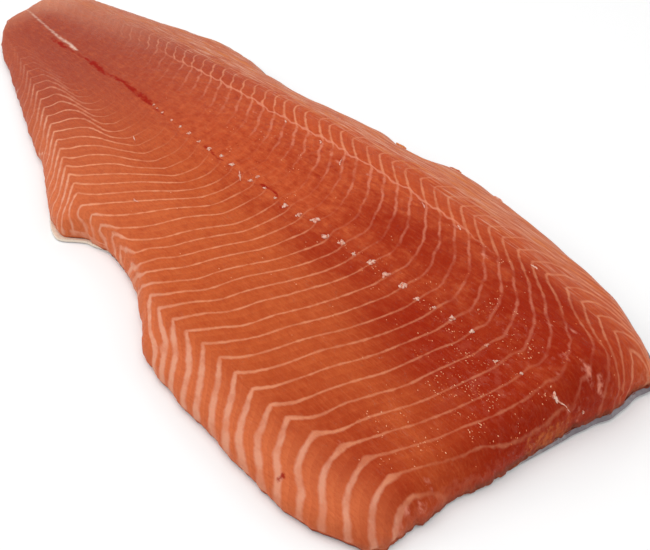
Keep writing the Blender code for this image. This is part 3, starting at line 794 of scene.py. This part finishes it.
def make_flesh():
    """The slab of muscle with its relief, and on its points all that the material needs to know."""
    lanes, station, lane, from_tail, from_head = fine_grid()
    bed, top = layers_at(station, lane, from_tail, from_head)[2:]
    y = top[..., 1]
    from_belly, from_back = y - y[0], y[-1] - y
    torn_up = straight(TORN_LOIN, lane)
    waver = waves(station, y, LINE_WAVES) * (CALM_WAVER_SHARE + (1 - CALM_WAVER_SHARE) * torn_up)
    phase = line_phase(station, lanes) + LINE_WAVER * waver

    # Change of the phase for each millimetre over the surface
    on = [np.gradient(values, axis=1) for values in (station, y, phase)]
    over = [np.gradient(values, axis=0) for values in (station, y, phase)]
    area = on[0] * over[1] - over[0] * on[1]
    slope_x = (on[2] * over[1] - over[2] * on[1]) / area
    slope_y = (on[0] * over[2] - over[0] * on[2]) / area
    density = np.hypot(slope_x, slope_y)

    strength = spread(LINE_STRENGTH, station, lane)
    half_width = spread(LINE_HALF_WIDTH, station, lane) + spots_cover(LINE_KNOTS, station, y)
    cover = {name: spots_cover(spots, station, y) for name, spots in (
        ("blood", BLOOD_SPOTS), ("lining", LINING_SPOTS), ("film", FILM_SPOTS), ("fat", FAT_SPOTS),
        ("deep", DEEP_ZONES), ("wet", WET_ZONES),
    )}
    cover["blood"] = np.maximum(streak(BLOOD_STREAK, station, y), cover["blood"])
    cover["tendon"] = streak(TENDON_STREAK, station, y)
    clusters = np.clip(CLUSTER_LEVEL + waves(station, y, CLUSTER_WAVE), 0, MOST_CLUSTERED)

    # Relief: the muscle blocks swell between the lines, fibres run along the fish, the loin is torn up
    inner = np.clip(np.minimum.reduce([from_head, from_tail, from_belly, from_back]) / EDGE_CALM, 0, 1)
    block = np.abs(np.sin(np.pi * phase)) ** BLOCK_ROUNDNESS - BLOCK_LEVEL
    distance = np.abs((phase + 0.5) % 1 - 0.5) / np.maximum(density, LEAST_DENSITY)
    ridge = np.clip(RIDGE_REACH - distance / (half_width + RIDGE_EDGE), 0, 1)
    relief = BLOCK_BULGE * block * strength + FIBRE_RELIEF * waves(station, y, FIBRE_WAVES)
    relief += LINE_RELIEF * ridge * strength
    relief += FAT_HEIGHT * np.clip(cover["fat"], 0, 1)
    relief += LOIN_RELIEF * waves(station, y, LUMP_WAVES) * torn_up * straight(TORN_LENGTH, station)
    top[..., 2] += inner * relief - BLOOD_DEPTH * inner * np.clip(cover["blood"], 0, 1)

    # Shreds of muscle near the head cut, and the torn edges
    shreds = waves(station, y, SHRED_WAVES)
    near_cut = fade(np.maximum(from_head - SHRED_START, 0), SHRED_WIDTH)
    near_cut *= np.clip(from_head / SHRED_START, 0, 1)
    top[..., 2] += SHRED_HEIGHT * shreds * near_cut * np.clip(from_belly / SHRED_BELLY_WIDTH, 0, 1)
    torn = np.clip(waves(y, top[..., 2], TORN_WAVE) + TORN_LEVEL, 0, MOST_TORN)
    bumps = waves(station, y, EDGE_WAVES)
    for layer in (top, bed):
        layer[..., 0] -= TEAR_DEPTH * (torn - TORN_MIDDLE) * fade(from_head, TEAR_WIDTH)
        layer[..., 0] += TAIL_TEAR_SHARE * TEAR_DEPTH * torn * fade(from_tail, TEAR_WIDTH)
        near_edge = fade(y - y[0], EDGE_BUMP_WIDTH) - fade(y[-1] - y, EDGE_BUMP_WIDTH)
        layer[..., 1] += EDGE_BUMP * bumps * near_edge

    # The rim of the belly and of the head cut droops over the skin that has shrunk back under it
    droop = fade(y - y[0], RIM_WIDTH)
    bed[..., 1] += RIM_TUCK * droop
    bed[..., 2] -= (bed[..., 2] - RIM_FOOT) * droop
    bed[..., 2] -= RIM_DROOP * np.clip(1 - torn, 0, 1) * fade(from_head, RIM_WIDTH)

    piece = closed_sheet("salmon_flesh", bed, top)
    add_values(
        piece, line_phase=phase, line_density=density, line_strength=strength, line_half_width=half_width,
        lane=lane, head_cut=from_head, **cover,
        fleck_share=np.where(inner > FLECK_EDGE, cover["wet"] * clusters, 0.0),
    )
    thin_out_flat_part(piece)
    piece.data.shade_smooth()
    piece.data.set_sharp_from_angle(angle=FLESH_SHARP_ANGLE)
    piece.data.materials.append(flesh_material())
    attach(piece, "root")
    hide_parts("flesh")
    return piece, (lanes, station, top)


def make_skin():
    """The skin under the flesh, on a coarser grid."""
    lanes, station, lane, from_tail, from_head = fine_grid()
    outside, inside = layers_at(station, lane, from_tail, from_head)[:2]
    keep = slice(None, None, SKIN_EVERY)
    piece = closed_sheet("salmon_skin", outside[keep, keep], inside[keep, keep])
    y = outside[..., 1]
    bare = straight(BARE_CORNER, station) * fade(y - y[0], BARE_CORNER_WIDTH)
    add_values(piece, lining=bare[keep, keep], lane=np.stack([lane[keep, keep]] * 2))
    piece.data.shade_smooth()
    piece.data.set_sharp_from_angle(angle=SKIN_SHARP_ANGLE)
    piece.data.materials.append(skin_material())
    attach(piece, "root")
    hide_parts("skin")


# Materials


def colour(red, green, blue):
    """A colour from the values 0 to 255 that a screen shows."""
    shares = (value / 255 for value in (red, green, blue))
    return tuple(s / 12.92 if s <= 0.04045 else ((s + 0.055) / 1.055) ** 2.4 for s in shares) + (1.0,)


class Result:
    """What a node of a material gives, so that formulas read as sums."""

    def __init__(self, recipe, socket):
        self.recipe, self.socket = recipe, socket

    def __add__(self, other):
        return self.recipe.math("ADD", self, other)

    def __sub__(self, other):
        return self.recipe.math("SUBTRACT", self, other)

    def __rsub__(self, other):
        return self.recipe.math("SUBTRACT", other, self)

    def __mul__(self, other):
        return self.recipe.math("MULTIPLY", self, other)

    def __truediv__(self, other):
        return self.recipe.math("DIVIDE", self, other)

    def __abs__(self):
        return self.recipe.math("ABSOLUTE", self)

    def ramp(self, low, high, at_low=0.0, at_high=1.0):
        """A smooth change from at_low, where this is low, to at_high, where it is high."""
        made = self.recipe.node("ShaderNodeMapRange", interpolation_type="SMOOTHSTEP")
        for socket, number in zip(made.inputs, (self, low, high, at_low, at_high)):
            self.recipe.put(socket, number)
        return Result(self.recipe, made.outputs[0])


class Recipe:
    """A material under construction: each method adds a node and gives its result."""

    def __init__(self, name):
        self.material = bpy.data.materials.new(name)
        self.material.use_nodes = True
        self.tree = self.material.node_tree
        self.surface = self.tree.nodes["Principled BSDF"]

    def put(self, socket, value):
        if isinstance(value, Result):
            self.tree.links.new(value.socket, socket)
        else:
            socket.default_value = value

    def node(self, kind, **settings):
        made = self.tree.nodes.new(kind)
        for name, value in settings.items():
            setattr(made, name, value)
        return made

    def stored(self, name):
        return Result(self, self.node("ShaderNodeAttribute", attribute_name=name).outputs["Fac"])

    def place(self):
        return Result(self, self.node("ShaderNodeTexCoord").outputs["Object"])

    def math(self, operation, first, second=0.0):
        made = self.node("ShaderNodeMath", operation=operation)
        self.put(made.inputs[0], first)
        self.put(made.inputs[1], second)
        return Result(self, made.outputs[0])

    def mix(self, share, first, second):
        made = self.node("ShaderNodeMix", data_type="RGBA", clamp_factor=True)
        for index, value in ((0, share), (6, first), (7, second)):
            self.put(made.inputs[index], value)
        return Result(self, made.outputs[2])

    def coats(self, tone, *coats):
        """A colour under coats of (share, colour)."""
        for share, tint in coats:
            tone = self.mix(share, tone, tint)
        return tone

    def scaled_place(self, scale, shift=(0.0, 0.0, 0.0)):
        made = self.node("ShaderNodeMapping")
        for name, value in (("Vector", self.place()), ("Location", shift), ("Scale", scale)):
            self.put(made.inputs[name], value)
        return Result(self, made.outputs["Vector"])

    def noise(self, stretch, detail=3.0, seed=0.0, roughness=0.5):
        """Noise on object coordinates, with features of this size in millimetres along x, y and z."""
        made = self.node("ShaderNodeTexNoise", noise_dimensions="3D")
        place = self.scaled_place(tuple(1000.0 / size for size in stretch), (seed, 0.37 * seed, 0.0))
        for name, value in (("Vector", place), ("Scale", 1.0), ("Detail", detail), ("Roughness", roughness)):
            self.put(made.inputs[name], value)
        return Result(self, made.outputs["Fac"])

    def bump(self, height, depth):
        made = self.node("ShaderNodeBump")
        self.put(made.inputs["Distance"], depth * MM)
        self.put(made.inputs["Height"], height)
        self.put(self.surface.inputs["Normal"], Result(self, made.outputs["Normal"]))

    def finish(self, **values):
        """Sets the surface's inputs, named with underscores for spaces, and gives the material."""
        for name, value in values.items():
            self.put(self.surface.inputs[name.replace("_", " ")], value)
        return self.material

    def moist(self, tone, roughness, shine, **values):
        """The sheen of moist tissue: little of it on the whole, and warm, so that the colour stays deep."""
        return self.finish(
            Base_Color=tone, Roughness=roughness, Specular_IOR_Level=shine, Specular_Tint=SHEEN_TINT, **values
        )


FLESH_ORANGE = colour(193, 84, 45)
FLANK_ORANGE = colour(192, 91, 46)
FLESH_DEEP = colour(147, 32, 9)
# painted shade of the flesh
FLESH_PAINTED_SHADE = colour(134, 28, 9)
FLESH_PINK = colour(156, 73, 55)
# painted sheen and painted light of the belly
BELLY_PAINTED_LIGHT = colour(218, 120, 76)
LINE_PEACH = colour(226, 151, 113)
LINE_PALE = colour(226, 166, 138)
LINE_PINK = colour(218, 138, 110)
# fascia film, also used as painted sheen
FASCIA_AND_SHEEN = colour(206, 140, 112)
FASCIA_DARK = colour(184, 98, 68)
FAT_ORANGE = colour(206, 118, 60)
FAT_TAN = colour(178, 92, 50)
FAT_SHADE, FAT_YELLOW = colour(176, 74, 32), colour(206, 122, 64)
# grey-brown of the skin edge with painted shade, at the foot of the head cut
CUT_FOOT_BROWN_AND_SHADE = colour(112, 66, 52)
EDGE_GREY = colour(216, 178, 158)
LINING_WHITE = colour(232, 200, 180)
FILM_PINK = colour(210, 130, 108)
BLOOD_RED = colour(146, 12, 4)
FIBRE_LIGHT = colour(206, 104, 60)
TISSUE_PINK, TISSUE_WHITE = colour(200, 112, 86), colour(228, 184, 166)
# orange of fat flecks, and cream that is a painted glint
FLECK_ORANGE, FLECK_GLINT_CREAM = colour(206, 100, 56), colour(238, 172, 132)
SKIN_SILVER, SKIN_BACK = colour(206, 198, 190), colour(124, 114, 118)
SCALE_GREY, SPECKLE_GREY = colour(112, 106, 112), colour(92, 86, 96)
SKIN_BARE = colour(232, 216, 196)
SHEEN_TINT = (1.0, 0.75, 0.6, 1.0)
SCALES_PER_METRE = (260, 340, 300)
SEPTUM_LANE = 2.1


def flesh_material():
    """Muscle with pale lines, septum, the film of the back edge, and blood, tendon, fat and lining.

    The ramps run over lanes, over metres along the fish and up, and over millimetres from the head cut.
    """
    look = Recipe("raw_salmon_flesh")
    lane, from_head, wet = (look.stored(name) for name in ("lane", "head_cut", "wet"))
    place = look.node("ShaderNodeSeparateXYZ")
    look.put(place.inputs[0], look.place())
    along, height = Result(look, place.outputs[0]), Result(look, place.outputs[2])
    patches = look.noise((28, 16, 28), seed=2.0)
    streaks = look.noise((9, 1.1, 3), 4.0, 5.0, 0.6)
    grain = look.noise((3, 0.9, 1.6), 4.0, 9.0, 0.65)
    clots = look.noise((6, 4, 5), 5.0, 3.0, 0.6)
    milk = look.noise((5, 3, 4), 5.0, 71.0)

    # The muscle is pinker at the tail, orange in the middle, deep red near the head cut; the paler belly is
    # painted sheen and painted light
    depth = look.stored("deep") + (patches - 0.5) * 0.5 + along.ramp(0.0, 0.26, 0.0, 0.25)
    rough = abs(lane - 0.9).ramp(1.7, 0.9, 0.25, 0.6) * along.ramp(-0.14, 0.05, 0.3, 1.0)
    pale_share = depth.ramp(0.3, 1.0, 1.0, 0.35)
    # painted sheen: a paler, pinker patch on the belly flank
    painted_belly_sheen = lane.ramp(-0.5, -1.7, 0.0, 0.45) * along.ramp(0.12, -0.02) * along.ramp(0.0, -0.12, 1.0, 0.12)
    back_half = lane.ramp(-1.4, -0.7, 0.4, 1.0)
    # painted shade: a darker red band on the slope down to the head cut, which faces away from the light
    painted_cut_slope_shade = from_head.ramp(18.0, 5.0, 0.0, 0.7) * lane.ramp(2.4, 1.0) * from_head.ramp(0.0, 2.0, 0.75, 1.0)
    scraps = (from_head + (clots - 0.5) * 12.0).ramp(2.5, 0.0) * lane.ramp(-0.6, -1.2, 0.03, 0.12)
    # darker toward the foot of the head cut: the grey-brown where flesh meets skin, and painted shade
    foot = height.ramp(0.0075, 0.0035, 0.0, 0.8) * from_head.ramp(6.0, 2.0)
    part = look.math("FRACT", look.stored("line_phase") + 0.5)
    tone = look.mix(lane.ramp(0.4, -0.9), FLESH_ORANGE, FLANK_ORANGE)
    tone = look.mix(along.ramp(-0.17, 0.05), FLESH_PINK, tone)
    tone = look.coats(
        tone,
        # painted sheen: pale fascia tone on the back toward the tail
        (lane.ramp(0.8, 2.6) * along.ramp(-0.08, -0.22, 0.0, 0.5), FASCIA_AND_SHEEN),
        (painted_belly_sheen, BELLY_PAINTED_LIGHT),
        (depth.ramp(-0.15, 1.15, 0.0, 0.95), FLESH_DEEP),
        (clots.ramp(0.45, 0.75) * rough, FLESH_DEEP),
        (clots.ramp(0.52, 0.25) * rough * pale_share, FIBRE_LIGHT),
        # painted light: brighter toward the belly edge, where the surface turns down from the light
        (lane.ramp(-1.7, -2.6) * along.ramp(-0.16, -0.04, 0.1, 0.6), BELLY_PAINTED_LIGHT),
        (painted_cut_slope_shade * back_half, FLESH_PAINTED_SHADE),
        (milk.ramp(0.48, 0.66) * wet * 0.13, FILM_PINK),
        (scraps, FILM_PINK),
        # painted sheen: pale fascia tone at the tail end
        (along.ramp(-0.225, -0.27, 0.0, 0.75), FASCIA_AND_SHEEN),
        (foot * back_half, CUT_FOOT_BROWN_AND_SHADE),
        (streaks.ramp(0.45, 0.7, 0.0, 0.3) * pale_share, FIBRE_LIGHT),
        (grain.ramp(0.6, 0.3, 0.0, 0.2), FLESH_DEEP),
        # painted shade: each muscle block a little darker on one side
        (part.ramp(0.5, 1.0, 0.12, 0.0), FLESH_PAINTED_SHADE),
    )

    # Pale lines between the muscle blocks
    wobble = (look.noise((3.5, 3.5, 3.5), seed=13.0) - 0.5) * 1.5
    away = abs(part - 0.5)
    distance = away / look.math("MAXIMUM", look.stored("line_density"), LEAST_DENSITY)
    half_width = look.stored("line_half_width")
    softness = half_width * 0.35 + 0.32
    line = (distance + wobble - half_width).ramp(softness, softness * -1.0)
    torn_up = lane.ramp(0.0, 0.3) * lane.ramp(2.1, 1.9)
    least = 0.6 - torn_up * 0.35
    breaks = least + look.noise((8, 8, 8), 4.0, 17.0).ramp(0.36, 0.6) * (1.0 - least)
    pale = look.mix(lane.ramp(-1.8, -2.3), LINE_PEACH, LINE_PALE)
    pale = look.coats(pale, (torn_up, LINE_PINK), (along.ramp(-0.02, -0.14, 0.0, 0.7), LINE_PALE))
    line = line * look.stored("line_strength") * breaks
    tone = look.mix(line * along.ramp(0.0, 0.22, 0.85, 0.65), tone, pale)

    # The thin wavy septum of the back
    drift = (look.noise((14, 14, 14), seed=23.0) - 0.5) * 0.4
    septum = abs(lane + drift + away * 0.14 - SEPTUM_LANE)
    septum = septum.ramp(0.06, 0.015) * along.ramp(0.2, 0.14) * along.ramp(-0.14, -0.06, 0.0, 0.8)
    tone = look.mix(septum * 0.8, tone, LINE_PINK)

    # Streaky film along the back edge, with some fat in it; its pale grey is partly painted sheen
    shreds = look.noise((18, 1.3, 3), 5.0, 33.0, 0.6)
    fatty = look.noise((24, 3, 6), 4.0, 37.0).ramp(0.5, 0.64, 0.0, 0.8)
    web = look.mix(shreds.ramp(0.38, 0.64), FASCIA_DARK, FASCIA_AND_SHEEN)
    web = look.coats(web, (fatty, FAT_ORANGE), (shreds.ramp(0.58, 0.7, 0.0, 0.6), EDGE_GREY))
    film = (lane + (shreds - 0.5) * 1.6).ramp(2.9, 3.5) * along.ramp(0.26, 0.16, 0.25, 1.0)
    tone = look.mix(film * along.ramp(-0.2, -0.08, 0.45, 0.8), tone, web)

    # Scraps of film, fat at the head cut, tendon, lining and blood, all with ragged edges
    ragged = (look.noise((4, 2, 3), 4.0, 27.0) - 0.5) * 2.2
    for name, tint, uneven in (
        ("film", FILM_PINK, 1.0), ("fat", FAT_TAN, 1.0), ("tendon", LINING_WHITE, 0.35),
        ("lining", LINING_WHITE, 1.0), ("blood", BLOOD_RED, 1.0),
    ):
        stored = look.stored(name)
        if name == "fat":        # it shows in the lower half of the head cut
            stored = stored * height.ramp(0.019, 0.012)
        cover = (stored + ragged * stored.ramp(0.0, 0.4, 0.0, uneven)).ramp(0.15, 0.95)
        tone = look.mix(cover * 0.85, tone, tint)

    gloss = (look.noise((2.4, 1.2, 2), 4.0, 21.0) + wet * 0.06).ramp(0.62, 0.68)
    look.bump(streaks * 0.6 + grain * 0.6, 0.4)
    return look.moist(
        tone, gloss.ramp(0.0, 1.0, 0.45, 0.12), gloss.ramp(0.0, 1.0, 0.03, 0.2),
        Subsurface_Weight=0.12, Subsurface_Radius=(1.0, 0.35, 0.2), Subsurface_Scale=0.002,
    )


def small_tissue(name, size, detail, seed, bounds, tints, roughness, shine, depth=None, **values):
    """A moist material of two tones, mixed by its grain."""
    look = Recipe(name)
    grain = look.noise((size, size, size), detail, seed)
    if depth:
        look.bump(grain, depth)
    return look.moist(look.mix(grain.ramp(*bounds), *tints), roughness, shine, **values)


def fleck_material():
    return small_tissue("fluid_and_fat_painted_glints", 3, 2.0, 51.0, (0.42, 0.6), (FLECK_ORANGE, FLECK_GLINT_CREAM), 0.15, 0.4)


def fat_material():
    return small_tissue(
        "yellow_fat", 2, 3.0, 61.0, (0.4, 0.6), (FAT_SHADE, FAT_YELLOW), 0.3, 0.4, 0.3,
        Subsurface_Weight=0.3, Subsurface_Scale=0.001,
    )


def tissue_material():
    return small_tissue(
        "white_tissue", 1.5, 3.0, 41.0, (0.35, 0.65), (TISSUE_PINK, TISSUE_WHITE), 0.3, 0.5, 0.2,
        Subsurface_Weight=0.3, Subsurface_Radius=(1.0, 0.4, 0.3), Subsurface_Scale=0.001,
    )


def skin_material():
    """Silver at the belly, darker at the back, with scales, and pale where the lining is bare."""
    look = Recipe("salmon_skin")
    voronoi = look.node("ShaderNodeTexVoronoi", feature="F1")
    look.put(voronoi.inputs["Vector"], look.scaled_place(SCALES_PER_METRE))
    look.put(voronoi.inputs["Scale"], 1.0)
    scales = Result(look, voronoi.outputs["Distance"])
    grain = look.noise((2, 2, 2), 4.0, 31.0)
    tone = look.mix(look.stored("lane").ramp(-2.2, 0.6), SKIN_SILVER, SKIN_BACK)
    tone = look.coats(
        tone, (scales.ramp(0.2, 0.7, 0.0, 0.4), SCALE_GREY), (grain.ramp(0.4, 0.7, 0.0, 0.35), SPECKLE_GREY),
        (look.stored("lining").ramp(0.05, 0.4), SKIN_BARE),
    )
    look.bump(scales + grain * 0.3, 0.25)
    return look.finish(Base_Color=tone, Metallic=0.1, Roughness=grain.ramp(0.3, 0.7, 0.25, 0.45))


# Stage

FLOOR_SIZE = 8
SKY_STRENGTH = 0.5
# Each lamp: name, place, size in metres, power in watts
LAMPS = (
    ("overhead", (-0.15, -0.05, 1.3), 1.2, 8.1),
    ("front_left", (-0.9, -0.6, 0.8), 0.8, 5.4),
    ("front_right", (1.0, -0.5, 0.6), 0.8, 2.6),
    ("back", (0.9, 0.9, 0.6), 0.8, 3.0),
    ("glint", (-0.55, 0.75, 0.8), 0.12, 0.6),
)


def aim(holder, place, target=(0, 0, 0)):
    """Puts a lamp or the camera at its place and turns it to the target."""
    holder.location = place
    holder.rotation_euler = (Vector(target) - Vector(place)).to_track_quat("-Z", "Y").to_euler()


def make_stage():
    """White floor, soft light from above and behind, and the photo's camera."""
    bpy.ops.mesh.primitive_plane_add(size=FLOOR_SIZE)
    floor = bpy.context.object
    floor.name = "floor"
    floor.data.materials.append(Recipe("floor_white").finish(Base_Color=(0.9, 0.9, 0.9, 1), Roughness=0.9))

    world = bpy.data.worlds.new("studio")
    bpy.context.scene.world = world
    world.use_nodes = True
    sky = world.node_tree.nodes["Background"]
    sky.inputs["Color"].default_value = (1, 1, 1, 1)
    sky.inputs["Strength"].default_value = SKY_STRENGTH

    for name, place, size, power in LAMPS:
        lamp = bpy.data.lights.new(name, "AREA")
        lamp.size = size
        lamp.energy = power
        holder = placed(name, lamp)
        aim(holder, place)

    lens = bpy.data.cameras.new("camera")
    lens.lens = LENS_LENGTH
    lens.sensor_width = SENSOR_WIDTH
    camera = placed("camera", lens)
    aim(camera, CAMERA_PLACE, CAMERA_TARGET)
    bpy.context.scene.camera = camera


flesh, upper_side = make_flesh()
make_tissue(upper_side)
make_flecks(flesh)
make_skin()
make_stage()
bpy.context.scene.view_settings.view_transform = "Standard"
